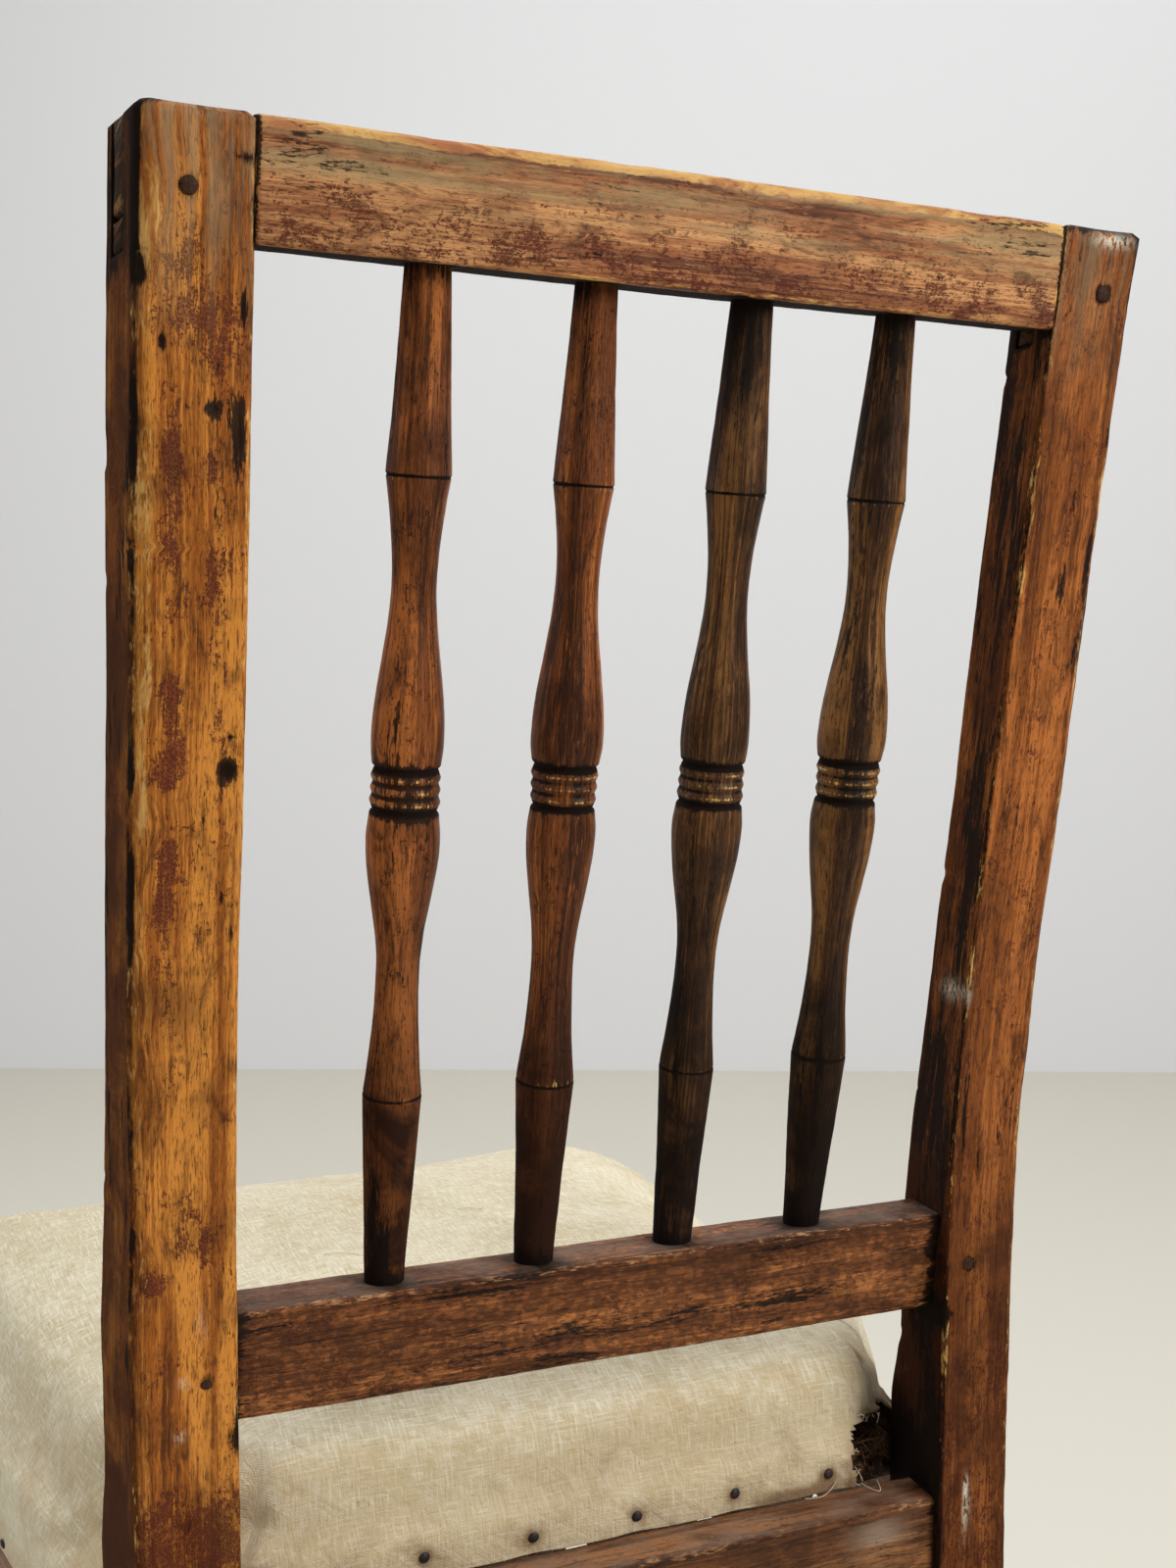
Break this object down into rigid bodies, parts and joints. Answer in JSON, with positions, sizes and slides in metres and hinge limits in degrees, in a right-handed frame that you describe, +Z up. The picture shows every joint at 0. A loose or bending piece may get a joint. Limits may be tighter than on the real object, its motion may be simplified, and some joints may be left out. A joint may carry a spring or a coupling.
{
  "type": "spindle-back side chair",
  "caption": "Old wooden side chair with a raked back of turned spindles between pegged rails and a stuffed seat under a torn cloth cover.",
  "frame": {"origin": "on the floor, in the middle of the chair's width and depth", "axes": "+Z up, the sitter faces -Y, +X to the sitter's left"},
  "size_m": [0.4882, 0.4799, 0.925],
  "materials": {
    "post_wood": "orange-brown wood with flakes of maroon paint and black stains, edges worn pale",
    "rail_wood": "red-brown stained wood with black streaks, edges worn gold",
    "spindle_wood": "dark red-brown stain rubbed through on the swellings",
    "seat_rail_wood": "dusty dark brown wood, worn edges",
    "raw_wood": "bare, dirty",
    "iron": "dark, lightly rusted",
    "webbing": "coarse woven jute band",
    "hessian": "open coarse weave",
    "stuffing": "matted vegetable fibre",
    "calico": "plain cream cotton, soiled"
  },
  "bodies": {
    "root": {"back_post_left": "post_wood", "back_post_right": "post_wood", "top_rail": "rail_wood", "mid_rail": "rail_wood", "spindle_1": "spindle_wood", "spindle_2": "spindle_wood", "spindle_3": "spindle_wood", "spindle_4": "spindle_wood", "rear_seat_rail": "seat_rail_wood", "front_seat_rail": "seat_rail_wood", "side_seat_rail_left": "seat_rail_wood", "side_seat_rail_right": "seat_rail_wood", "front_leg_left": "seat_rail_wood", "front_leg_right": "seat_rail_wood", "side_stretcher_left": "seat_rail_wood", "side_stretcher_right": "seat_rail_wood", "cross_stretcher": "seat_rail_wood", "rear_tack_strip": "raw_wood", "strip_nails": "iron", "webbing_lengthwise": "webbing", "webbing_crosswise": "webbing", "webbing_tacks": "iron", "base_cloth": "hessian", "seat_stuffing": "stuffing", "seat_cover": "calico", "cover_tacks_rear": "iron", "cover_tacks_sides": "iron", "cover_tacks_front": "iron", "top_rail_pegs": "raw_wood", "mid_rail_pegs": "raw_wood", "tenon_wedges": "rail_wood"}
  },
  "joints": []
}
